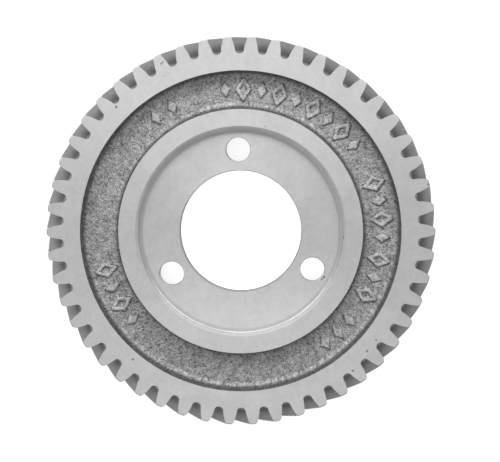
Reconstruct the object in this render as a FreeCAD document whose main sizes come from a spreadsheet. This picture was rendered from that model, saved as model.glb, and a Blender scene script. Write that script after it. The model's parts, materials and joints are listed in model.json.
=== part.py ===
"""Camshaft gear: a cast light-alloy wheel, turned on its faces and hobbed with fifty
helical teeth.

Lengths are in millimetres and angles in degrees. The gear turns about Z. Its back face
is on z = 0, its front face is up, and the first bolt hole is on +Y.
"""
import FreeCAD
import Part
import math
import os
import Sketcher

NODE = "camshaft_gear"

SIZES = {
    # The teeth: module and pressure angle are those of the cutter, square to the tooth,
    # and the addendum and dedendum are heights above and below the pitch circle
    "tooth_count": 50,
    "normal_module": 2.25,
    "pressure_angle": 15,
    "helix_angle": 30,
    "addendum": 2.25,
    "dedendum": 3.6,
    "root_fillet": 0.9,
    "front_gap_angle": 2.1,
    # The rim, from the roots of the teeth inwards
    "face_width": 16,
    "tip_chamfer": 0.35,
    "rim_wall": 5.85,
    # The middle, from the bore outwards: the flange is the web that the bolts hold
    "bore_diameter": 42,
    "bore_chamfer": 0.3,
    "flange_width": 14.5,
    "hub_wall": 6.75,
    # The dish in the front face
    "dish_depth": 3,
    "dish_chamfer": 0.9,
    "dish_corner": 0.6,
    # The seat in the back face, which takes the flange of the camshaft
    "seat_width": 14.5,
    "seat_depth": 7,
    # The cast recesses between the hub wall and the rim
    "front_recess_depth": 6,
    "back_recess_depth": 4,
    "casting_draft": 6,
    "casting_corner": 0.9,
    # The bolt holes, midway between the bore and the wall of the dish
    "bolt_count": 3,
    "bolt_hole_diameter": 8.4,
    "bolt_hole_chamfer": 0.3,
    # How far each cut runs past the metal
    "overrun": 1,
}

# The involute of an angle
INVOLUTE = "(tan({0}) * 180 / pi - {0})"

# What follows from the sizes of the teeth
TOOTH_FORM = {
    "pitch_radius": "Sizes.tooth_count * Sizes.normal_module / cos(Sizes.helix_angle) / 2",
    "lead": "2 * pi * pitch_radius / tan(Sizes.helix_angle)",
    "twist": "360 * (Sizes.face_width + 2 * Sizes.overrun) / lead",
    "first_angle": "Sizes.front_gap_angle - 360 * (Sizes.face_width + Sizes.overrun) / lead",
    "face_pressure_angle": "atan(tan(Sizes.pressure_angle) / cos(Sizes.helix_angle)) / 1deg",
    "base_radius": "pitch_radius * cos(face_pressure_angle)",
    "base_half_gap": "90 / Sizes.tooth_count - " + INVOLUTE.format("face_pressure_angle"),
    "root_radius": "pitch_radius - Sizes.dedendum",
    "tip_radius": "pitch_radius + Sizes.addendum",
    "fillet_centre": "root_radius + Sizes.root_fillet",
    "fillet_top": "sqrt(fillet_centre ^ 2 - Sizes.root_fillet ^ 2)",
    "fillet_lean": "asin(Sizes.root_fillet / fillet_centre) / 1deg",
    "low_slope": "acos(base_radius / max(base_radius; fillet_top)) / 1deg",
    "low_half_gap": "base_half_gap + " + INVOLUTE.format("low_slope"),
    "high_radius": "tip_radius + Sizes.overrun",
}

# What follows from the sizes of the blank
BLANK_FORM = {
    "bore_radius": "Sizes.bore_diameter / 2",
    "dish_radius": "bore_radius + Sizes.flange_width",
    "seat_radius": "bore_radius + Sizes.seat_width",
    "bolt_radius": "(bore_radius + dish_radius) / 2",
    "hub_radius": "dish_radius + Sizes.hub_wall",
    "rim_radius": "Teeth.root_radius - Sizes.rim_wall",
    "dish_floor": "Sizes.face_width - Sizes.dish_depth",
}
FILLET_CHORDS = 2
FLANK_CHORDS = 3


def outline_of_half_gap():
    """Add the corners of one side of a gap to the tooth form, from the root outwards.

    Each corner lies on the curve, at a radius and at an angle from the middle of the
    gap. The chords between them stay within 0.02 mm of the involute and 0.1 mm of the
    root fillet.
    """
    corners = []
    for step in range(FILLET_CHORDS):
        name = f"fillet_{step}"
        turned = f"(90 - fillet_lean) * {step} / {FILLET_CHORDS}"
        TOOTH_FORM[f"{name}_in"] = f"fillet_centre - Sizes.root_fillet * cos({turned})"
        TOOTH_FORM[f"{name}_out"] = f"Sizes.root_fillet * sin({turned})"
        TOOTH_FORM[f"{name}_radius"] = f"sqrt({name}_in ^ 2 + {name}_out ^ 2)"
        TOOTH_FORM[f"{name}_angle"] = (
            f"low_half_gap - fillet_lean + atan({name}_out / {name}_in) / 1deg"
        )
        corners.append(name)
    TOOTH_FORM["flank_0_radius"] = "fillet_top"
    TOOTH_FORM["flank_0_angle"] = "low_half_gap"
    corners.append("flank_0")
    for step in range(1, FLANK_CHORDS + 1):
        name = f"flank_{step}"
        TOOTH_FORM[f"{name}_radius"] = (
            f"fillet_top + (high_radius - fillet_top) * {step} / {FLANK_CHORDS}"
        )
        TOOTH_FORM[f"{name}_slope"] = f"acos(base_radius / {name}_radius) / 1deg"
        TOOTH_FORM[f"{name}_angle"] = "base_half_gap + " + INVOLUTE.format(f"{name}_slope")
        corners.append(name)
    return corners


def fill_sheet(name, cells, mark=""):
    sheet = doc.addObject("Spreadsheet::Sheet", name)
    for row, (alias, content) in enumerate(cells.items(), start=1):
        sheet.set(f"A{row}", alias)
        sheet.set(f"B{row}", f"{mark}{content}")
        sheet.setAlias(f"B{row}", alias)
    doc.recompute()
    return sheet


def value_of(expression):
    return float(sizes.evalExpression(expression))


def origin_feature(role):
    return next(item for item in body.Origin.OriginFeatures if item.Role == role)


def add_sketch(name, plane):
    sketch = body.newObject("Sketcher::SketchObject", name)
    sketch.AttachmentSupport = [(origin_feature(plane), "")]
    sketch.MapMode = "FlatFace"
    return sketch


def bind(sketch, kind, where, expression):
    """Add a constraint whose value follows the expression."""
    index = sketch.addConstraint(Sketcher.Constraint(kind, *where, value_of(expression)))
    sketch.setExpression(f"Constraints[{index}]", expression)


def draw_polygon(sketch, corners):
    """Draw a closed outline with each corner tied to the origin by two expressions."""
    points = [FreeCAD.Vector(*map(value_of, corner), 0) for corner in corners]
    for number, (start, end) in enumerate(zip(points, points[1:] + points[:1])):
        sketch.addGeometry(Part.LineSegment(start, end), False)
        if number:
            sketch.addConstraint(Sketcher.Constraint("Coincident", number - 1, 2, number, 1))
    last = len(corners) - 1
    sketch.addConstraint(Sketcher.Constraint("Coincident", last, 2, 0, 1))
    for number, (across, up) in enumerate(corners):
        bind(sketch, "DistanceX", (-1, 1, number, 1), across)
        bind(sketch, "DistanceY", (-1, 1, number, 1), up)


def add_feature(kind, name, **settings):
    """Add a feature that leaves faces of one form apart, as the halves of the blank are."""
    feature = body.newObject(kind, name)
    for setting, value in settings.items():
        setattr(feature, setting, value)
    if hasattr(feature, "Refine"):
        feature.Refine = False
    return feature


def turn(kind, name, corners, parts=1):
    """Turn an outline, given by radius and height, about the gear's axis.

    It is drawn in the plane through the middle of the first gap, at half the face
    width. In two parts it is turned half way round from that plane to each side.
    """
    sketch = add_sketch(f"{name}_section", "XZ_Plane")
    sketch.AttachmentOffset = FreeCAD.Placement(
        FreeCAD.Vector(), FreeCAD.Rotation(FreeCAD.Vector(0, 1, 0), 1)
    )
    sketch.setExpression("AttachmentOffset.Rotation.Angle", "Teeth.first_angle + Teeth.twist / 2")
    draw_polygon(sketch, corners)
    for part in range(parts):
        feature = add_feature(kind, f"{name}_{part}", Profile=sketch)
        feature.ReferenceAxis = (sketch, ["V_Axis"])
        feature.Angle = 360 / parts
        feature.Reversed = part == 1
        doc.recompute()


def repeat_around(feature, name, count):
    """Copy a cut evenly around the gear's axis, and see that each copy takes as much."""
    one_cut = feature.BaseFeature.Shape.Volume - feature.Shape.Volume
    pattern = add_feature("PartDesign::PolarPattern", name, Originals=[feature])
    pattern.Axis = (origin_feature("Z_Axis"), [""])
    pattern.Angle = 360
    pattern.setExpression("Occurrences", count)
    body.Tip = pattern
    doc.recompute()
    all_cuts = feature.BaseFeature.Shape.Volume - pattern.Shape.Volume
    if one_cut <= 0 or abs(all_cuts / one_cut - pattern.Occurrences) > 0.01:
        raise RuntimeError(f"{name} took {all_cuts:.1f} cubic mm, and one cut {one_cut:.1f}")


def circles_at(radius, height, centre_distance="0"):
    """Name the edges that are whole circles of this size, this far from the axis."""
    wanted = [value_of(item) for item in (radius, height, centre_distance)]
    names = []
    for number, edge in enumerate(body.Tip.Shape.Edges, start=1):
        if not isinstance(edge.Curve, Part.Circle):
            continue
        centre = edge.Curve.Center
        found = (edge.Curve.Radius, centre.z, math.hypot(centre.x, centre.y))
        if all(abs(a - b) < 1e-4 for a, b in zip(found, wanted)):
            names.append(f"Edge{number}")
    if not names:
        raise RuntimeError(f"no circle of radius {radius} at height {height}")
    return names


def chamfer(name, size, edges):
    feature = add_feature("PartDesign::Chamfer", name, Base=(body.Tip, edges))
    feature.setExpression("Size", size)
    doc.recompute()


def turn_blank():
    """Turn the blank in two halves, because a gap isn't cut well across a seam."""
    turn("PartDesign::Revolution", "blank", parts=2, corners=[
        ("Blank.bore_radius", "0"),
        ("Teeth.tip_radius - Sizes.tip_chamfer", "0"),
        ("Teeth.tip_radius", "Sizes.tip_chamfer"),
        ("Teeth.tip_radius", "Sizes.face_width - Sizes.tip_chamfer"),
        ("Teeth.tip_radius - Sizes.tip_chamfer", "Sizes.face_width"),
        ("Blank.bore_radius", "Sizes.face_width"),
    ])


def cut_dish_and_seat():
    inside = "Blank.bore_radius - Sizes.overrun"
    above = "Sizes.face_width + Sizes.overrun"
    turn("PartDesign::Groove", "front_dish", [
        (inside, "Blank.dish_floor"),
        ("Blank.dish_radius - Sizes.dish_corner", "Blank.dish_floor"),
        ("Blank.dish_radius", "Blank.dish_floor + Sizes.dish_corner"),
        ("Blank.dish_radius", "Sizes.face_width - Sizes.dish_chamfer"),
        ("Blank.dish_radius + Sizes.dish_chamfer + Sizes.overrun", above),
        (inside, above),
    ])
    turn("PartDesign::Groove", "back_seat", [
        (inside, "-Sizes.overrun"),
        ("Blank.seat_radius", "-Sizes.overrun"),
        ("Blank.seat_radius", "Sizes.seat_depth"),
        (inside, "Sizes.seat_depth"),
    ])


def sloped(radius, direction, depth):
    """Radius of a cast wall at a depth below the face that it is drawn from."""
    return f"Blank.{radius} {direction} tan(Sizes.casting_draft) * ({depth})"


def cut_recess(name, depth, face, inwards):
    """Form a ring-shaped recess with drafted walls and eased corners.

    The face is the height that the recess goes in from, and inwards is + or - for the
    way that it goes. A corner takes up to a quarter of the floor between the walls.
    """
    floor_width = f"({sloped('rim_radius', '-', depth)}) - ({sloped('hub_radius', '+', depth)})"
    corner = f"min(Sizes.casting_corner; ({floor_width}) / 4)"
    outside = "-Sizes.overrun"
    wall_foot = f"{depth} - {corner}"
    levels = [f"{face} {inwards} ({item})" for item in (outside, wall_foot, depth)]
    turn("PartDesign::Groove", name, [
        (sloped("hub_radius", "+", outside), levels[0]),
        (sloped("hub_radius", "+", wall_foot), levels[1]),
        (sloped("hub_radius", "+", depth) + f" + {corner}", levels[2]),
        (sloped("rim_radius", "-", depth) + f" - {corner}", levels[2]),
        (sloped("rim_radius", "-", wall_foot), levels[1]),
        (sloped("rim_radius", "-", outside), levels[0]),
    ])


def chamfer_bore():
    rims = circles_at("Blank.bore_radius", "Blank.dish_floor")
    rims += circles_at("Blank.bore_radius", "Sizes.seat_depth")
    chamfer("bore_chamfers", "Sizes.bore_chamfer", rims)


def drill_bolt_holes():
    sketch = add_sketch("bolt_hole_centre", "XY_Plane")
    sketch.setExpression("AttachmentOffset.Base.z", "Blank.dish_floor")
    centre = FreeCAD.Vector(0, value_of("Blank.bolt_radius"), 0)
    upwards = FreeCAD.Vector(0, 0, 1)
    sketch.addGeometry(Part.Circle(centre, upwards, value_of("Sizes.bolt_hole_diameter / 2")), False)
    sketch.addConstraint(Sketcher.Constraint("PointOnObject", 0, 3, -2))
    bind(sketch, "DistanceY", (-1, 1, 0, 3), "Blank.bolt_radius")
    bind(sketch, "Diameter", (0,), "Sizes.bolt_hole_diameter")
    doc.recompute()
    hole = add_feature("PartDesign::Hole", "bolt_hole", Profile=sketch, DepthType="ThroughAll")
    hole.setExpression("Diameter", "Sizes.bolt_hole_diameter")
    doc.recompute()
    repeat_around(hole, "bolt_holes", "Sizes.bolt_count")
    rims = circles_at("Sizes.bolt_hole_diameter / 2", "Blank.dish_floor", "Blank.bolt_radius")
    chamfer("bolt_hole_chamfers", "Sizes.bolt_hole_chamfer", rims)


def hob_teeth(corners):
    """Cut one twisted gap through three sections, and repeat it around the blank."""
    one_side = [
        (f"Teeth.{name}_radius * cos(Teeth.{name}_angle)",
         f"Teeth.{name}_radius * sin(Teeth.{name}_angle)")
        for name in corners
    ]
    other_side = [(along, f"-({across})") for along, across in reversed(one_side)]
    sections = []
    for number, share in enumerate((0, 0.5, 1)):
        sketch = add_sketch(f"gap_section_{number}", "XY_Plane")
        sketch.AttachmentOffset = FreeCAD.Placement(
            FreeCAD.Vector(0, 0, number), FreeCAD.Rotation(FreeCAD.Vector(0, 0, 1), 1)
        )
        height = f"(Sizes.face_width + 2 * Sizes.overrun) * {share} - Sizes.overrun"
        sketch.setExpression("AttachmentOffset.Base.z", height)
        angle = f"Teeth.first_angle + Teeth.twist * {share}"
        sketch.setExpression("AttachmentOffset.Rotation.Angle", angle)
        draw_polygon(sketch, one_side + other_side)
        sections.append(sketch)
    doc.recompute()
    gap = add_feature("PartDesign::SubtractiveLoft", "tooth_gap", Profile=sections[0])
    gap.Sections = sections[1:]
    doc.recompute()
    repeat_around(gap, "tooth_gaps", "Sizes.tooth_count")


def check_and_write():
    for item in doc.Objects:
        if "Invalid" in item.State or "Error" in item.State:
            raise RuntimeError(f"{item.Name} failed: {item.State}")
    shape = body.Shape
    if shape.isNull() or not shape.isValid() or len(shape.Solids) != 1:
        raise RuntimeError(f"{NODE} isn't one valid solid")
    os.makedirs("parts", exist_ok=True)
    shape.exportStep(os.path.join("parts", f"{NODE}.step"))
    box = shape.optimalBoundingBox()
    print(f"{NODE}: {box.XLength:.2f} x {box.YLength:.2f} x {box.ZLength:.2f} mm,",
          f"{shape.Volume / 1000:.2f} cubic cm, {len(shape.Faces)} faces")


doc = FreeCAD.newDocument("CamshaftGear")
sizes = fill_sheet("Sizes", SIZES)
gap_corners = outline_of_half_gap()
fill_sheet("Teeth", TOOTH_FORM, mark="=")
fill_sheet("Blank", BLANK_FORM, mark="=")
body = doc.addObject("PartDesign::Body", "CamshaftGear")
body.Label = NODE

turn_blank()
cut_dish_and_seat()
cut_recess("front_recess", "Sizes.front_recess_depth", "Sizes.face_width", "-")
cut_recess("back_recess", "Sizes.back_recess_depth", "0", "+")
chamfer_bore()
drill_bolt_holes()
hob_teeth(gap_corners)
check_and_write()
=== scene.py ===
"""Camshaft gear: the visible gear with its finishes, and the floor, lights and camera.

The gear lies on its back on z = 0 and turns about Z. Lengths are in metres, except in
names that end in _mm. Angles go counter-clockwise, seen from the front.
"""
import json
import math

import bmesh
import bpy
import numpy as np
from bpy.props import FloatProperty, FloatVectorProperty, IntProperty, PointerProperty
from mathutils import Matrix, Vector, noise
from mathutils.geometry import delaunay_2d_cdt


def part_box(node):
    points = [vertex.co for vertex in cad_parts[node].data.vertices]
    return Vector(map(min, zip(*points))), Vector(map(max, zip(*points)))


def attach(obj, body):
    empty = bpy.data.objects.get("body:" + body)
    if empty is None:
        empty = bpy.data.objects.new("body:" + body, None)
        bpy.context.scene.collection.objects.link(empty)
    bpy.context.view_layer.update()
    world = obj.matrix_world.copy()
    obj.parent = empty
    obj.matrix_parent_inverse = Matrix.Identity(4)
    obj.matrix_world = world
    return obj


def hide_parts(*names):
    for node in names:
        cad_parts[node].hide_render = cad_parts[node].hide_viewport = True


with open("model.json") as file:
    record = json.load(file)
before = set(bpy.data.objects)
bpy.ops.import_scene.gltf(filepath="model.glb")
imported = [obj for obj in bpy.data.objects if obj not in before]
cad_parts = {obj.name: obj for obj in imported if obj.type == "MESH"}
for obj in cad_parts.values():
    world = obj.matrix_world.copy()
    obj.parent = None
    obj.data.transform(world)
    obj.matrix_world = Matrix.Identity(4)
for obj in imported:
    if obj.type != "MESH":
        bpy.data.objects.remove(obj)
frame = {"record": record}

bl_info = {
    "name": "Camshaft gear",
    "version": (1, 0, 0),
    "blender": (4, 5, 0),
    "location": "View3D > Sidebar > Gear",
    "description": "Builds a camshaft gear with helical teeth, its finishes and its stage",
    "category": "Object",
}

NODE = "camshaft_gear"
MM = 0.001
LOW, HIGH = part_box(NODE)
MOUNTS = {mount["name"]: mount for mount in frame["record"]["mounts"]}
BORE = MOUNTS["shaft_bore"]["dims"]
BOLTS = MOUNTS["bolt_holes"]["dims"]


def length(name, description, value_mm):
    return FloatProperty(name=name, description=description, default=value_mm * MM,
                         min=0, unit="LENGTH", subtype="DISTANCE", precision=5)


def angle(name, description, degrees):
    return FloatProperty(name=name, description=description,
                         default=math.radians(degrees), unit="ROTATION", subtype="ANGLE")


def share(name, description, value):
    return FloatProperty(name=name, description=description, default=value,
                         min=0, max=1, subtype="FACTOR")


def grey(name, description, value):
    return FloatVectorProperty(name=name, description=description, default=(value,) * 3,
                               min=0, max=1, size=3, subtype="COLOR")


class GearShape(bpy.types.PropertyGroup):
    """Sizes of the gear"""
    tooth_count: IntProperty(name="Teeth", description="Number of teeth", default=50, min=12)
    normal_module: length("Module", "Module of the cutter, square to the tooth", 2.25)
    pressure_angle: angle("Pressure angle", "Angle of the cutter's flank", 15)
    helix_angle: angle("Helix angle", "Slope of the teeth, right-hand", 30)
    front_gap_angle: angle("Front gap", "Where the first gap is on the front face", 2.1)
    dedendum: length("Dedendum", "Depth of a gap below the pitch circle", 3.6)
    root_fillet: length("Root fillet", "Radius at the foot of a flank", 1.3)
    tip_round: length("Tip corner", "Ease of the corner between flank and tip", 0.35)
    tip_chamfer: length("Tip chamfer", "Chamfer of the tips at both faces", 0.35)
    edge_break: length("Edge break", "Ease of the teeth's edges on both faces", 0.1)
    rim_radius: length("Rim", "Radius of the rim's inner wall at the faces", 55.5)
    hub_radius: length("Hub", "Radius of the hub's outer wall at the faces", 42.25)
    front_recess: length("Front recess", "Depth of the cast recess in the front", 6)
    back_recess: length("Back recess", "Depth of the cast recess in the back", 4)
    draft: angle("Draft", "Slope of the cast walls", 6)
    cast_fillet: length("Cast fillet", "Radius at the foot of a cast wall", 2.0)
    dish_radius: length("Dish", "Radius of the dish in the front face", 35.5)
    dish_depth: length("Dish depth", "Depth of the dish", 3)
    dish_chamfer: length("Dish chamfer", "Width of the bevel at the dish's edge", 0.9)
    dish_bevel_depth: length("Bevel depth", "Depth of the bevel at the dish's edge", 0.8)
    dish_corner: length("Dish corner", "Radius at the foot of the dish's wall", 0.5)
    seat_radius: length("Seat", "Radius of the seat in the back face", 35.5)
    seat_depth: length("Seat depth", "Depth of the seat", 7)
    small_chamfer: length("Small chamfers", "Chamfer of the bore and the holes", 0.2)
    grain_height: length("Grain", "Height of the casting's rough grain", 0.1)
    mark_height: length("Mark height", "Height of the raised marks in the recess", 0.5)


class GearFinish(bpy.types.PropertyGroup):
    """Colours and gloss of the gear"""
    turned_colour: grey("Turned", "Colour of the turned faces", 0.6)
    # The teeth's colour is the flanks' own tone made darker: painted shade for the gaps between
    # the teeth
    hobbed_colour_and_gap_shade: grey("Teeth", "Colour of the teeth's flanks", 0.3)
    cast_colour: grey("Cast", "Colour of the casting's high grains", 0.62)
    # Pit colour: partly the casting's own tone, partly painted shade in the pits between its
    # grains
    pit_colour_and_shade: grey("Cast pits", "Colour between the casting's grains", 0.12)
    turned_roughness: share("Turned roughness", "Roughness of the turned faces", 0.6)
    hobbed_roughness: share("Teeth roughness", "Roughness of the teeth's flanks", 0.5)
    cast_roughness: share("Cast roughness", "Roughness of the casting", 0.62)
    # Painted shade: colour of the ring in the dish's corner, at the foot of its wall
    corner_shade_share: share("Corner shade", "Colour in the corner of the dish against its floor", 0.82)
    # Painted shade: colour of a thin line at the bore's edge
    bore_edge_shade: share("Bore's edge", "Colour of the bore's edge against the face", 0.6)
    # Painted shade: colour of the steep cast walls against the floors
    wall_shade_share: share("Cast walls", "Colour of the cast walls against the floors", 0.62)


class GearStage(bpy.types.PropertyGroup):
    """Floor, lights and camera"""
    floor_colour: grey("Floor", "Colour of the floor", 0.8)
    world_level: FloatProperty(name="World", description="Level of the light all around",
                               default=0.45, min=0)
    mirrored_sky: FloatProperty(name="Mirrored sky", default=0.45, min=0,
                                description="Level of the background in the metal")
    floor_glow: FloatProperty(name="Floor glow", default=0.75, min=0,
                              description="Level that the floor adds where it is seen")
    mirrored_glow: FloatProperty(name="Mirrored glow", default=0.2, min=0,
                                 description="Level that the floor adds in the metal")
    light_power: FloatProperty(name="Lights", description="Power of the soft lights",
                               default=2.75, min=0, unit="POWER")
    camera_distance: length("Camera distance", "From the front face to the camera", 678)
    lens_mm: FloatProperty(name="Lens", description="Focal length in millimetres",
                           default=141.5, min=10, unit="CAMERA")


# The mesh

# Steps across half a gap: its floor, fillet and flank, then half of a tooth's tip
FILLET_STEPS = 5
FLANK_STEPS = 3
TIP_STEPS = 2
STEPS_IN_PITCH = 2 * (1 + FILLET_STEPS + FLANK_STEPS + TIP_STEPS)
TOOTH_LAYERS = 11
COARSE = 4
CORNER_STEPS = 4
HOLE_POINTS = 72
FLAT_UNDER_ROOTS = 0.6 * MM
# Steps down a cast wall, round its fillet and across the recess's floor
FRONT_STEPS = (6, 4, 28)
BACK_STEPS = (4, 3, 14)
# The finishes, and in degrees how sharply each may bend before it shows an edge
TURNED, HOBBED, CAST = range(3)
SMOOTH_LIMITS = (25, 30, 90)


def involute(slope):
    return math.tan(slope) - slope


class Skin:
    """Points and faces of one closed mesh, joined loop by loop."""

    def __init__(self):
        self.points, self.relief, self.faces, self.finishes = [], [], [], []

    def add_loop(self, points, relief=None):
        first = len(self.points)
        self.points.extend(tuple(float(value) for value in point) for point in points)
        self.relief.extend([0.5] * len(points) if relief is None else list(relief))
        return np.arange(first, len(self.points))

    def add_faces(self, faces, finish):
        """Add faces that have one finish, or a list with the finish of each."""
        self.faces.extend(faces)
        self.finishes.extend(finish if isinstance(finish, list) else [finish] * len(faces))

    def angle_of(self, index):
        x, y, _ = self.points[index]
        return math.atan2(y, x)

    def bridge(self, many, few, finish, in_step=False):
        """Join two loops, of which the first has a whole number of times as many points.

        Unless they are in step, the first is turned to start nearest to the second.
        """
        if len(many) < len(few):
            many, few = few, many
        if not in_step:
            spacing = 2 * math.pi / len(many)
            apart = self.angle_of(few[0]) - self.angle_of(many[0])
            many = np.roll(many, -round(apart / spacing))
        ratio = len(many) // len(few)
        next_few, faces = np.roll(few, -1), []
        for number, (near, far) in enumerate(zip(few, next_few)):
            start = number * ratio
            side = [int(many[(start + step) % len(many)]) for step in range(ratio + 1)]
            faces.append((int(far), int(near), *side))
        self.add_faces(faces, finish)

    def fill_flat(self, outer, inner, holes, finish):
        """Fill a flat ring that has round holes in it."""
        loops = [outer, inner, *holes]
        order = np.concatenate(loops)
        owner = np.repeat(range(len(loops)), [len(loop) for loop in loops])
        flat = [Vector(self.points[index][:2]) for index in order]
        edges, start = [], 0
        for loop in loops:
            count = len(loop)
            edges += [(start + i, start + (i + 1) % count) for i in range(count)]
            start += count
        found = delaunay_2d_cdt(flat, edges, [], 0, 1e-9)
        sources = found[3]
        faces = []
        for triangle in found[2]:
            corners = [sources[index][0] for index in triangle]
            owners = {int(owner[index]) for index in corners}
            if len(owners) > 1 or owners == {0}:
                faces.append(tuple(int(order[index]) for index in corners))
        self.add_faces(faces, finish)

    def to_object(self, name, materials):
        mesh = bpy.data.meshes.new(name)
        mesh.from_pydata(self.points, [], self.faces)
        for material in materials:
            mesh.materials.append(material)
        mesh.polygons.foreach_set("material_index", self.finishes)
        layer = mesh.attributes.new("relief", "FLOAT", "POINT")
        layer.data.foreach_set("value", self.relief)
        work = bmesh.new()
        work.from_mesh(mesh)
        bmesh.ops.recalc_face_normals(work, faces=work.faces)
        if any(not edge.is_manifold for edge in work.edges):
            raise RuntimeError(f"{name} isn't closed")
        for face in work.faces:
            face.smooth = True
        for edge in work.edges:
            one, two = (face.material_index for face in edge.link_faces)
            limit = math.radians(SMOOTH_LIMITS[one])
            edge.smooth = one == two and edge.calc_face_angle() < limit
        work.to_mesh(mesh)
        work.free()
        piece = bpy.data.objects.new(name, mesh)
        bpy.context.scene.collection.objects.link(piece)
        return piece


def circle(radius, height, count, start=0.0, centre=(0.0, 0.0)):
    turns = start + np.arange(count) * 2 * math.pi / count
    return np.stack([centre[0] + radius * np.cos(turns), centre[1] + radius * np.sin(turns),
                     np.full(count, height)], axis=1)


def half_gap_outline(shape, tip):
    """Radii and angles from the middle of a gap to the middle of a tooth."""
    count = shape.tooth_count
    pitch = count * shape.normal_module / math.cos(shape.helix_angle) / 2
    slope = math.atan(math.tan(shape.pressure_angle) / math.cos(shape.helix_angle))
    base = pitch * math.cos(slope)
    half_gap = math.pi / 2 / count - involute(slope)
    fillet = shape.root_fillet
    centre = pitch - shape.dedendum + fillet
    top = math.sqrt(centre ** 2 - fillet ** 2)
    lean = math.asin(fillet / centre)

    def flank_angle(radius):
        return half_gap + involute(math.acos(base / max(base, radius)))

    corners = [(centre - fillet, 0.0)]
    for step in range(FILLET_STEPS):
        turned = (math.pi / 2 - lean) * step / FILLET_STEPS
        inwards = centre - fillet * math.cos(turned)
        across = fillet * math.sin(turned)
        corners.append((math.hypot(inwards, across),
                        flank_angle(top) - lean + math.atan2(across, inwards)))
    flank_end = tip - shape.tip_round
    for step in range(FLANK_STEPS + 1):
        radius = top + (flank_end - top) * step / FLANK_STEPS
        corners.append((radius, flank_angle(radius)))
    corners.append((tip, flank_angle(tip) + shape.tip_round / tip))
    corners.append((tip, math.pi / count))
    return corners


def tooth_loop(shape, height, start, tip, inset):
    """One closed outline of all the teeth at a height, drawn in by the inset."""
    half = half_gap_outline(shape, tip)
    pitch_angle = 2 * math.pi / shape.tooth_count
    one = half + [(radius, pitch_angle - turn) for radius, turn in reversed(half[1:-1])]
    radii = np.tile([radius for radius, _ in one], shape.tooth_count)
    turns = np.concatenate([[start + number * pitch_angle + turn for _, turn in one]
                            for number in range(shape.tooth_count)])
    flat = np.stack([radii * np.cos(turns), radii * np.sin(turns)], axis=1)
    along = np.roll(flat, -1, axis=0) - np.roll(flat, 1, axis=0)
    along /= np.linalg.norm(along, axis=1)[:, None]
    flat += inset * np.stack([-along[:, 1], along[:, 0]], axis=1)
    return np.column_stack([flat, np.full(len(flat), height)])


def rounded_corner(corner, before, after, radius, steps):
    """Points and outward normals of an arc that rounds one corner of a section."""
    corner, before, after = (np.array(item, float) for item in (corner, before, after))
    one = (before - corner) / np.linalg.norm(before - corner)
    two = (after - corner) / np.linalg.norm(after - corner)
    half = math.acos(float(one @ two)) / 2
    middle = (one + two) / np.linalg.norm(one + two)
    centre = corner + middle * radius / math.sin(half)
    begin = corner + one * radius / math.tan(half) - centre
    end = corner + two * radius / math.tan(half) - centre
    swing = math.pi - 2 * half
    points = []
    for step in range(steps + 1):
        part = step / steps
        arm = math.sin((1 - part) * swing) * begin + math.sin(part * swing) * end
        arm /= math.sin(swing)
        points.append((centre + arm, -arm / radius))
    return points


def recess_section(shape, depth, face, inwards, wall_steps, fillet_steps, floor_steps):
    """Section of a cast recess from the rim's edge to the hub's edge.

    Each entry is a point and the normal into the open side, both as radius and height,
    and 1 on the floor, 0 elsewhere.
    """
    drop = math.tan(shape.draft) * depth
    floor = face + inwards * depth
    rim_top, rim_foot = (shape.rim_radius, face), (shape.rim_radius - drop, floor)
    hub_foot, hub_top = (shape.hub_radius + drop, floor), (shape.hub_radius, face)
    outer = rounded_corner(rim_foot, rim_top, hub_foot, shape.cast_fillet, fillet_steps)
    inner = rounded_corner(hub_foot, rim_foot, hub_top, shape.cast_fillet, fillet_steps)
    section = []

    def add_run(start, end, steps, on_floor):
        for step in range(1, steps):
            point = start[0] + (end[0] - start[0]) * step / steps
            section.append((point, start[1], on_floor))

    rim_start = (np.array(rim_top), outer[0][1])
    hub_end = (np.array(hub_top), inner[-1][1])
    section.append((*rim_start, 0))
    add_run(rim_start, outer[0], wall_steps, 0)
    section += [(*item, 0) for item in outer]
    add_run(outer[-1], inner[0], floor_steps, 1)
    section += [(*item, 0) for item in inner]
    add_run(inner[-1], hub_end, wall_steps, 0)
    section.append((*hub_end, 0))
    return section


# Raised marks: centre angle in degrees and the form of each. A diamond is solid, and a
# lozenge is an open outline. None reaches further from its middle than MARK_REACH, in
# millimetres out from the axis and in degrees around it.
MARK_RADIUS_MM = 49.1
MARK_HALF_LENGTH_MM, MARK_HALF_WIDTH_MM = 3.7, 2.3
DIAMOND_INSET_MM = 0.45
LOZENGE_INSET_MM, LOZENGE_HALF_LINE_MM = 0.2, 0.7
MARK_SLOPE_MM = 0.6
MARK_REACH = 5
# MARK_LIGHT is painted light on the marks' tops, MARK_EDGE_SHADE painted shade round their
# edges
MARK_LIGHT, MARK_EDGE_SHADE = 0.22, 1.2
MARKS = (
    (125.2, "diamond"), (117.2, "diamond"),
    (94.5, "diamond"), (87.2, "lozenge"), (79.6, "diamond"), (72.4, "lozenge"),
    (65.0, "diamond"), (57.6, "lozenge"), (50.2, "diamond"), (42.8, "lozenge"),
    (35.6, "diamond"),
    (17.8, "lozenge"), (10.4, "diamond"), (3.0, "lozenge"), (-4.4, "diamond"),
    (-13.6, "lozenge"), (-21.2, "diamond"), (-29.0, "lozenge"),
    (-41.4, "diamond"), (-48.2, "diamond"), (-55.0, "diamond"),
    (194.6, "lozenge"), (202.2, "diamond"), (209.8, "lozenge"), (217.6, "diamond"),
)


def mark_distance_mm(form, along, out):
    """Distance outside the edge of a mark, from its middle, along and out from the axis."""
    half_length, half_width = MARK_HALF_LENGTH_MM, MARK_HALF_WIDTH_MM
    edge = (abs(along) / half_width + abs(out) / half_length - 1) * (
        half_length * half_width / math.hypot(half_length, half_width))
    if form == "diamond":
        return edge + DIAMOND_INSET_MM
    return abs(edge + LOZENGE_INSET_MM) - LOZENGE_HALF_LINE_MM


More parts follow.
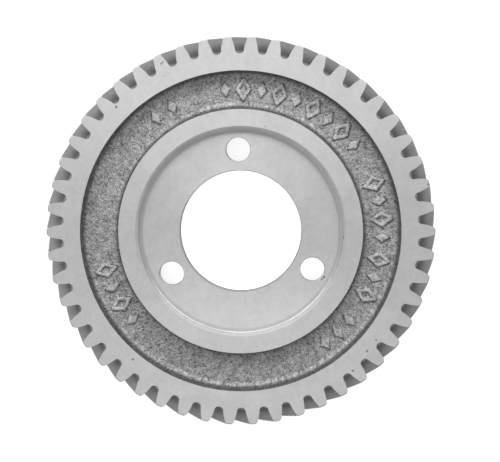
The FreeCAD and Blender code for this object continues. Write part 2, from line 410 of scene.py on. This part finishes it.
def mark_rise(x_mm, y_mm):
    """How far the marks stand up at a point of the recess's floor, from 0 to 1."""
    radius, turn = math.hypot(x_mm, y_mm), math.degrees(math.atan2(y_mm, x_mm))
    out = radius - MARK_RADIUS_MM
    nearest = math.inf
    if abs(out) <= MARK_REACH:
        for centre, form in MARKS:
            away = (turn - centre + 180) % 360 - 180
            if abs(away) < MARK_REACH:
                along = math.radians(away) * radius
                nearest = min(nearest, mark_distance_mm(form, along, out))
    fade = min(1.0, max(0.0, 0.5 - nearest / MARK_SLOPE_MM))
    return fade * fade * (3 - 2 * fade)


def grain(x_mm, y_mm, z_mm):
    """Rough grain of a sand casting at a point, about -1 to 1, in three sizes."""
    coarse = 0.2 * noise.noise(Vector((x_mm, y_mm, z_mm)) * 0.55)
    middle = 0.5 * noise.noise(Vector((x_mm + 31, y_mm, z_mm)) * 1.15)
    fine = 0.8 * noise.noise(Vector((x_mm, y_mm + 57, z_mm)) * 2.1)
    return coarse + middle + fine


def add_recess(skin, shape, section, count, start, marked):
    """Add the loops of a cast recess, rough and with marks, and return them all."""
    turns = start + np.arange(count) * 2 * math.pi / count
    loops = []
    last = len(section) - 1
    for number, (point, normal, on_floor) in enumerate(section):
        on_face = number in (0, last)
        points, relief = [], []
        for turn in turns:
            cosine, sine = math.cos(turn), math.sin(turn)
            x_mm, y_mm = point[0] * cosine / MM, point[0] * sine / MM
            rough = grain(x_mm, y_mm, point[1] / MM)
            raised = mark_rise(x_mm, y_mm) if marked and on_floor else 0.0
            push = shape.grain_height * rough * (1 - 0.5 * raised) + shape.mark_height * raised
            radius = point[0] + push * normal[0] * (0.5 if on_face else 1)
            height = point[1] + push * normal[1] * (0 if on_face else 1)
            points.append((radius * cosine, radius * sine, height))
            # Painted light on the marks' tops and painted shade round their edges, added to the
            # grain's height
            shade = MARK_LIGHT * raised - MARK_EDGE_SHADE * raised * (1 - raised)
            relief.append(min(1.0, max(0.0, 0.5 + 0.5 * rough + shade)))
        loops.append(skin.add_loop(points, relief))
    for before, after in zip(loops, loops[1:]):
        skin.bridge(before, after, CAST, in_step=True)
    return loops


def add_teeth(skin, shape, width, tip, turn_per_metre):
    """Add the teeth from the front face down to the back, and return both end loops."""
    ease, bevel = shape.edge_break, shape.tip_chamfer
    inner_heights = np.linspace(width - bevel, bevel, TOOTH_LAYERS)
    teeth = []
    for height in (width, width - ease, *inner_heights, ease, 0):
        from_face = min(height, width - height)
        start = shape.front_gap_angle - (width - height) * turn_per_metre
        teeth.append(skin.add_loop(tooth_loop(
            shape, height, start, tip - max(0, bevel - from_face),
            ease if from_face == 0 else 0)))
    flank = [HOBBED] * (1 + FILLET_STEPS + FLANK_STEPS)
    one_pitch = flank + [TURNED] * 2 * TIP_STEPS + flank
    for above, below in zip(teeth, teeth[1:]):
        skin.bridge(above, below, one_pitch * shape.tooth_count, in_step=True)
    return teeth[0], teeth[-1]


def add_rings(skin, places, count, start=0.0, centre=(0.0, 0.0)):
    """Add rings of given radii and heights, join each to the next, and return them."""
    rings = [skin.add_loop(circle(radius, height, count, start, centre))
             for radius, height in places]
    for before, after in zip(rings, rings[1:]):
        skin.bridge(before, after, TURNED, in_step=True)
    return rings


def add_middle(skin, shape, width):
    """Add the dish, the bore, the seat and the bolt holes.

    The loops at the edges of the dish and of the seat are returned.
    """
    count, start = STEPS_IN_PITCH * shape.tooth_count // COARSE, shape.front_gap_angle
    dish, seat, bore = shape.dish_radius, shape.seat_radius, BORE["r_mm"] * MM
    floor, under = width - shape.dish_depth, shape.seat_depth
    corner, small = shape.dish_corner, shape.small_chamfer
    turns = [step * math.pi / 2 / CORNER_STEPS for step in range(CORNER_STEPS + 1)]
    dish_rings = add_rings(skin, (
        (dish + shape.dish_chamfer, width), (dish, width - shape.dish_bevel_depth),
        *((dish - corner + corner * math.cos(turn), floor + corner - corner * math.sin(turn))
          for turn in turns)), count, start)
    bore_rings = add_rings(skin, (
        (bore + small, floor), (bore, floor - small),
        (bore, under + small), (bore + small, under)), count, start)
    seat_rings = add_rings(skin, (
        (seat, under), (seat, small), (seat + small, 0)), count, start)
    hole, bolt_circle = BOLTS["hole_r_mm"] * MM, BOLTS["pcd_mm"] / 2 * MM
    tops, bottoms = [], []
    for number in range(BOLTS["count"]):
        turn = math.pi / 2 + number * 2 * math.pi / BOLTS["count"]
        centre = bolt_circle * math.cos(turn), bolt_circle * math.sin(turn)
        hole_rings = add_rings(skin, (
            (hole + small, floor), (hole, floor - small), (hole, under)),
            HOLE_POINTS, centre=centre)
        tops.append(hole_rings[0])
        bottoms.append(hole_rings[-1])
    skin.fill_flat(dish_rings[-1], bore_rings[0], tops, TURNED)
    skin.fill_flat(seat_rings[0], bore_rings[-1], bottoms, TURNED)
    return dish_rings[0], seat_rings[-1]


def build_skin(shape):
    """Build the whole gear as one closed skin."""
    skin = Skin()
    width = HIGH.z - LOW.z
    fine = STEPS_IN_PITCH * shape.tooth_count
    pitch = shape.tooth_count * shape.normal_module / math.cos(shape.helix_angle) / 2
    turn_per_metre = math.tan(shape.helix_angle) / pitch
    front_start = shape.front_gap_angle
    back_start = front_start - width * turn_per_metre
    under_roots = pitch - shape.dedendum - FLAT_UNDER_ROOTS

    # Teeth, and the front of the rim with its recess
    front_teeth, back_teeth = add_teeth(skin, shape, width, max(HIGH.x, HIGH.y),
                                        turn_per_metre)
    front_rim = skin.add_loop(circle(under_roots, width, fine, front_start))
    skin.bridge(front_teeth, front_rim, TURNED, in_step=True)
    section = recess_section(shape, shape.front_recess, width, -1, *FRONT_STEPS)
    front = add_recess(skin, shape, section, fine, front_start, True)
    skin.bridge(front_rim, front[0], TURNED, in_step=True)

    # Hub
    dish_edge, seat_edge = add_middle(skin, shape, width)
    skin.bridge(front[-1], dish_edge, TURNED)

    # Back of the hub, the recess and the rim
    section = recess_section(shape, shape.back_recess, 0, 1, *BACK_STEPS)
    back = add_recess(skin, shape, section, fine // 2, back_start, False)
    skin.bridge(back[-1], seat_edge, TURNED)
    back_rim = skin.add_loop(circle(under_roots, 0, fine, back_start))
    skin.bridge(back_rim, back[0], TURNED)
    skin.bridge(back_teeth, back_rim, TURNED, in_step=True)
    return skin


# The finishes

class Nodes:
    """Adds shader nodes to a node tree and links them."""

    def __init__(self, tree):
        self.tree = tree
        tree.nodes.clear()

    def add(self, kind, inputs=None, **settings):
        node = self.tree.nodes.new(kind)
        for setting, value in settings.items():
            setattr(node, setting, value)
        for key, value in (inputs or {}).items():
            if isinstance(value, bpy.types.NodeSocket):
                self.tree.links.new(value, node.inputs[key])
            else:
                node.inputs[key].default_value = value
        return node

    def math(self, operation, *values):
        inputs = dict(enumerate(values))
        return self.add("ShaderNodeMath", inputs, operation=operation).outputs[0]

    def vector_math(self, operation, *values):
        return self.add("ShaderNodeVectorMath", dict(enumerate(values)), operation=operation)

    def noise(self, vector, scale, detail, roughness):
        return self.add("ShaderNodeTexNoise", {
            "Vector": vector, "Scale": scale, "Detail": detail, "Roughness": roughness,
        }).outputs["Fac"]

    def remap(self, value, low, high, to_low, to_high):
        return self.add("ShaderNodeMapRange", {
            0: value, 1: low, 2: high, 3: to_low, 4: to_high}).outputs[0]

    def spread(self, noise, low, high):
        """Stretch the range that most of a noise fills to the range from low to high."""
        return self.remap(noise, 0.3, 0.7, low, high)

    def mix(self, factor, one, two, blend="MIX"):
        node = self.add("ShaderNodeMix", data_type="RGBA", blend_type=blend)
        for index, value in ((0, factor), (6, one), (7, two)):
            if isinstance(value, bpy.types.NodeSocket):
                self.tree.links.new(value, node.inputs[index])
            else:
                node.inputs[index].default_value = value
        return node.outputs[2]


def new_material(name):
    material = bpy.data.materials.new(name)
    material.use_nodes = True
    return material, Nodes(material.node_tree)


def rgba(colour):
    return (*colour, 1.0)


def finish_metal(nodes, colour, roughness, normal, more=None):
    shader = nodes.add("ShaderNodeBsdfPrincipled", {
        "Base Color": colour, "Roughness": roughness, "Normal": normal, "Metallic": 1.0,
        **(more or {})})
    nodes.add("ShaderNodeOutputMaterial", {"Surface": shader.outputs[0]})


# Small pits and nicks: place, depth below the front face and radius, in millimetres
PITS_MM = (
    (-41.4, 44.2, 0, 0.5), (-25.3, 58.6, 0, 0.36), (-24.8, 59.1, 0, 0.3),
    (-24.4, 54.4, 0, 0.2), (65.0, 14.3, 0, 0.35), (42.5, -42.7, 0, 0.4),
    (37.4, -49.4, 0, 0.42), (45.7, -39.0, 0, 0.32), (-38.7, -43.3, 0, 0.42),
    (9.7, 35.9, 0.3, 0.4), (35.4, -3.1, 0.9, 0.45), (28.4, -16.9, 3, 0.45),
    (27.6, -17.6, 3, 0.32),
)
# Colour in a pit against the face, and how far the middle of the dish corner's painted shade is
# from its wall
PIT_SHADE = 0.35
CORNER_SHADE_INSET_MM = 0.95
# How much of a texture one turn round the axis takes in
SWEEP = 4 * MM


def around_axis(nodes, place):
    """Coordinates that stretch a texture along the turning marks."""
    parts = nodes.add("ShaderNodeSeparateXYZ", {0: place})
    x, y, z = parts.outputs
    radius = nodes.math("SQRT", nodes.math("ADD", nodes.math("MULTIPLY", x, x),
                                           nodes.math("MULTIPLY", y, y)))
    safe = nodes.math("MAXIMUM", radius, 1e-4)
    swept = nodes.add("ShaderNodeCombineXYZ", {
        0: nodes.math("MULTIPLY", nodes.math("DIVIDE", x, safe), SWEEP),
        1: nodes.math("MULTIPLY", nodes.math("DIVIDE", y, safe), SWEEP),
        2: nodes.math("ADD", radius, z)})
    return swept.outputs[0], radius


def turned_finish(finish, gear_shape):
    material, nodes = new_material("turned_alloy")
    place = nodes.add("ShaderNodeTexCoord").outputs["Object"]
    swept, radius = around_axis(nodes, place)

    def at_ring(ring_radius, near_mm, far_mm, value, elsewhere):
        """A value near one radius, which fades to another away from it."""
        away = nodes.math("ABSOLUTE", nodes.math("SUBTRACT", radius, ring_radius))
        return nodes.remap(away, near_mm * MM, far_mm * MM, value, elsewhere)

    rings = nodes.noise(swept, scale=5200, detail=3, roughness=0.6)
    streaks = nodes.noise(swept, scale=900, detail=3, roughness=0.6)
    clouds = nodes.noise(place, scale=160, detail=4, roughness=0.65)
    mottle = nodes.noise(place, scale=620, detail=3, roughness=0.6)
    level = nodes.math("ADD", nodes.spread(clouds, -0.06, 0.06),
                       nodes.spread(streaks, 0.985, 1.015))
    level = nodes.math("ADD", level, nodes.spread(mottle, -0.04, 0.04))
    dish, bore = gear_shape.dish_radius, BORE["r_mm"] * MM
    # Painted shade: a darker ring in the dish's corner, near the foot of its wall
    corner_shade = at_ring(dish - CORNER_SHADE_INSET_MM * MM, 0.3, 0.9, finish.corner_shade_share, 1.0)
    # Painted shade: a darker line at the bore's edge
    bore_edge_shade = at_ring(bore, 0.1, 0.3, finish.bore_edge_shade, 1.0)
    level = nodes.math("MULTIPLY", nodes.math("MULTIPLY", level, corner_shade), bore_edge_shade)
    pit = 1.0
    for x_mm, y_mm, depth_mm, radius_mm in PITS_MM:
        centre = (x_mm * MM, y_mm * MM, HIGH.z - depth_mm * MM)
        away = nodes.vector_math("DISTANCE", place, centre).outputs[1]
        edge = nodes.remap(away, radius_mm * MM * 0.5, radius_mm * MM * 1.3, 0.0, 1.0)
        pit = nodes.math("MULTIPLY", pit, edge)
    shade = nodes.math("MULTIPLY", level, nodes.remap(pit, 0, 1, PIT_SHADE, 1.0))
    colour = nodes.mix(1.0, rgba(finish.turned_colour), shade, "MULTIPLY")
    height = nodes.math("ADD", nodes.math("MULTIPLY", rings, 0.5),
                        nodes.math("MULTIPLY", pit, 4.0))
    normal = nodes.add("ShaderNodeBump", {
        "Height": height, "Strength": 0.25, "Distance": 0.00003}).outputs[0]
    fillet_gloss = at_ring(dish - gear_shape.dish_corner / 2, 0.25, 0.35, -0.2, 0.0)
    bevel_gloss = at_ring(dish + gear_shape.dish_chamfer / 2, 0.5, 0.7, 0.12, 0.0)
    low, high = finish.turned_roughness - 0.05, finish.turned_roughness + 0.05
    roughness = nodes.math("ADD", nodes.math("ADD", fillet_gloss, bevel_gloss),
                           nodes.spread(clouds, low, high))
    tangent = nodes.add("ShaderNodeTangent", direction_type="RADIAL", axis="Z").outputs[0]
    finish_metal(nodes, colour, roughness, normal, {
        "Anisotropic": 0.5, "Anisotropic Rotation": 0.25, "Tangent": tangent})
    return material


def hobbed_finish(finish):
    material, nodes = new_material("hobbed_alloy")
    place = nodes.add("ShaderNodeTexCoord").outputs["Object"]
    squeezed = nodes.add("ShaderNodeMapping", {0: place, 3: (1, 1, 0.15)}).outputs[0]
    streaks = nodes.noise(squeezed, scale=2600, detail=3, roughness=0.6)
    clouds = nodes.noise(place, scale=240, detail=2, roughness=0.5)
    level = nodes.math("ADD", nodes.spread(streaks, 0.84, 1.14),
                       nodes.spread(clouds, -0.07, 0.07))
    # The flanks' colour holds painted shade for the gaps between the teeth
    colour = nodes.mix(1.0, rgba(finish.hobbed_colour_and_gap_shade), level, "MULTIPLY")
    normal = nodes.add("ShaderNodeBump", {
        "Height": streaks, "Strength": 0.3, "Distance": 0.00004}).outputs[0]
    finish_metal(nodes, colour, finish.hobbed_roughness, normal)
    return material


def cast_finish(finish):
    material, nodes = new_material("cast_alloy")
    place = nodes.add("ShaderNodeTexCoord").outputs["Object"]
    relief = nodes.add("ShaderNodeAttribute", attribute_name="relief").outputs["Fac"]
    sand = nodes.noise(place, scale=2600, detail=2, roughness=0.65)
    clouds = nodes.noise(place, scale=320, detail=3, roughness=0.6)
    # Colour from the grain's height and a sand noise: the casting's own grain tone, painted
    # shade in its pits, and the marks' painted light and shade
    grains = nodes.math("ADD", nodes.math("MULTIPLY", relief, 0.4),
                        nodes.math("MULTIPLY", sand, 0.6))
    light = nodes.remap(grains, 0.36, 0.64, 0.0, 1.0)
    colour = nodes.mix(light, rgba(finish.pit_colour_and_shade), rgba(finish.cast_colour))
    level = nodes.spread(clouds, 0.86, 1.1)
    facing = nodes.add("ShaderNodeTexCoord").outputs["Normal"]
    upwards = nodes.math("ABSOLUTE", nodes.add("ShaderNodeSeparateXYZ", {0: facing}).outputs[2])
    # Painted shade: the steeper a cast face, the darker its colour
    steep_wall_shade = nodes.remap(upwards, 0.15, 0.85, finish.wall_shade_share, 1.0)
    colour = nodes.mix(1.0, colour, nodes.math("MULTIPLY", level, steep_wall_shade), "MULTIPLY")
    normal = nodes.add("ShaderNodeBump", {
        "Height": sand, "Strength": 0.8, "Distance": 0.0002}).outputs[0]
    finish_metal(nodes, colour, finish.cast_roughness, normal)
    return material


# The operators

class OBJECT_OT_build_gear(bpy.types.Operator):
    """Build the gear with its teeth, recesses, dish, bore and bolt holes"""
    bl_idname = "gear.build_gear"
    bl_label = "Build gear"

    def execute(self, context):
        scene = context.scene
        finish = scene.gear_finish
        materials = [turned_finish(finish, scene.gear_shape), hobbed_finish(finish),
                     cast_finish(finish)]
        gear = build_skin(scene.gear_shape).to_object("gear_wheel", materials)
        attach(gear, "root")
        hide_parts(NODE)
        return {"FINISHED"}


class SCENE_OT_set_stage(bpy.types.Operator):
    """Set the floor, the lights and the camera"""
    bl_idname = "gear.set_stage"
    bl_label = "Set stage"

    def execute(self, context):
        settings = context.scene.gear_stage
        lay_floor(context, settings)
        set_lights(context, settings)
        set_camera(context, settings)
        context.scene.view_settings.view_transform = "Standard"
        return {"FINISHED"}


def lay_floor(context, settings):
    mesh = bpy.data.meshes.new("floor")
    size, drop = 2.0, -0.2 * MM
    corners = [(x * size, y * size, drop) for x, y in ((-1, -1), (1, -1), (1, 1), (-1, 1))]
    mesh.from_pydata(corners, [], [(0, 1, 2, 3)])
    floor = bpy.data.objects.new("floor", mesh)
    context.scene.collection.objects.link(floor)
    material, nodes = new_material("pale_floor")
    matt = nodes.add("ShaderNodeBsdfDiffuse", {"Color": rgba(settings.floor_colour)})
    path = nodes.add("ShaderNodeLightPath").outputs
    seen = nodes.math("MAXIMUM", path["Is Camera Ray"], path["Is Transmission Ray"])
    level = nodes.math("ADD", nodes.math("MULTIPLY", seen, settings.floor_glow),
                       nodes.math("MULTIPLY", path["Is Glossy Ray"], settings.mirrored_glow))
    glow = nodes.add("ShaderNodeEmission", {"Color": (1, 1, 1, 1), "Strength": level})
    both = nodes.add("ShaderNodeAddShader", {0: matt.outputs[0], 1: glow.outputs[0]})
    nodes.add("ShaderNodeOutputMaterial", {"Surface": both.outputs[0]})
    mesh.materials.append(material)


# Soft lights: bearing and height in degrees, size in metres and share of the power
LIGHT_DISTANCE = 0.9
LIGHTS = (
    ("light_right", 45, 42, 0.45, 0.88),
    ("light_top", 90, 42, 0.45, 0.96),
    ("light_left", 135, 42, 0.45, 0.97),
    ("light_over", 205, 74, 0.35, 0.2),
)


def set_lights(context, settings):
    world = bpy.data.worlds.new("studio")
    context.scene.world = world
    world.use_nodes = True
    nodes = Nodes(world.node_tree)
    path = nodes.add("ShaderNodeLightPath").outputs
    seen = nodes.math("MAXIMUM", path["Is Camera Ray"], path["Is Transmission Ray"])
    mirrored = nodes.math("MULTIPLY", path["Is Glossy Ray"], settings.mirrored_sky)
    unseen = nodes.math("MAXIMUM", settings.world_level, mirrored)
    level = nodes.math("MAXIMUM", seen, unseen)
    sky = nodes.add("ShaderNodeBackground", {"Color": (1, 1, 1, 1), "Strength": level})
    nodes.add("ShaderNodeOutputWorld", {"Surface": sky.outputs[0]})
    for name, turn, rise, size, part in LIGHTS:
        light = bpy.data.lights.new(name, "AREA")
        light.shape = "DISK"
        light.size = size
        light.energy = settings.light_power * part
        lamp = bpy.data.objects.new(name, light)
        turn, rise = math.radians(turn), math.radians(rise)
        towards = Vector((math.cos(turn) * math.cos(rise), math.sin(turn) * math.cos(rise),
                          math.sin(rise)))
        lamp.matrix_world = looking(towards * LIGHT_DISTANCE, Vector(), Vector((0, 1, 0.01)))
        context.scene.collection.objects.link(lamp)


def looking(place, target, up):
    """Pose of a camera or lamp that looks at a target."""
    back = (place - target).normalized()
    right = up.cross(back).normalized()
    turn = Matrix((right, back.cross(right), back)).transposed()
    return Matrix.Translation(place) @ turn.to_4x4()


# The picture in pixels, the gear's centre in it, and how far the camera stands off the axis
IMAGE_WIDTH = 500
IMAGE_CENTRE = 250.0, 231.0
TARGET_COLUMN, TARGET_ROW = 240.4, 231.6
CAMERA_ASIDE, CAMERA_ABOVE = 20.5 * MM, 42.8 * MM
CAMERA_ROLL = math.radians(1.8)


def set_camera(context, settings):
    target = Vector((0, 0, HIGH.z))
    far = settings.camera_distance
    height = math.sqrt(far ** 2 - CAMERA_ASIDE ** 2 - CAMERA_ABOVE ** 2)
    data = bpy.data.cameras.new("camera")
    data.sensor_width = 36
    data.lens = settings.lens_mm
    data.shift_x = (IMAGE_CENTRE[0] - TARGET_COLUMN) / IMAGE_WIDTH
    data.shift_y = (TARGET_ROW - IMAGE_CENTRE[1]) / IMAGE_WIDTH
    data.clip_start, data.clip_end = 0.01, 20
    camera = bpy.data.objects.new("camera", data)
    up = Vector((math.sin(CAMERA_ROLL), math.cos(CAMERA_ROLL), 0))
    place = target + Vector((CAMERA_ASIDE, CAMERA_ABOVE, height))
    camera.matrix_world = looking(place, target, up)
    context.scene.collection.objects.link(camera)
    context.scene.camera = camera


class VIEW3D_PT_gear(bpy.types.Panel):
    """Sizes, finishes and stage of the gear"""
    bl_label = "Camshaft gear"
    bl_space_type = "VIEW_3D"
    bl_region_type = "UI"
    bl_category = "Gear"

    def draw(self, context):
        for group in ("gear_shape", "gear_finish", "gear_stage"):
            settings = getattr(context.scene, group)
            box = self.layout.box()
            for name in settings.bl_rna.properties.keys():
                if name not in ("rna_type", "name"):
                    box.prop(settings, name)
        self.layout.operator("gear.build_gear")
        self.layout.operator("gear.set_stage")


CLASSES = (GearShape, GearFinish, GearStage, OBJECT_OT_build_gear, SCENE_OT_set_stage,
           VIEW3D_PT_gear)


def register():
    for item in CLASSES:
        bpy.utils.register_class(item)
    bpy.types.Scene.gear_shape = PointerProperty(type=GearShape)
    bpy.types.Scene.gear_finish = PointerProperty(type=GearFinish)
    bpy.types.Scene.gear_stage = PointerProperty(type=GearStage)


def unregister():
    del bpy.types.Scene.gear_shape
    del bpy.types.Scene.gear_finish
    del bpy.types.Scene.gear_stage
    for item in reversed(CLASSES):
        bpy.utils.unregister_class(item)


def main():
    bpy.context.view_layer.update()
    register()
    bpy.ops.gear.build_gear()
    bpy.ops.gear.set_stage()


if __name__ == "__main__":
    main()
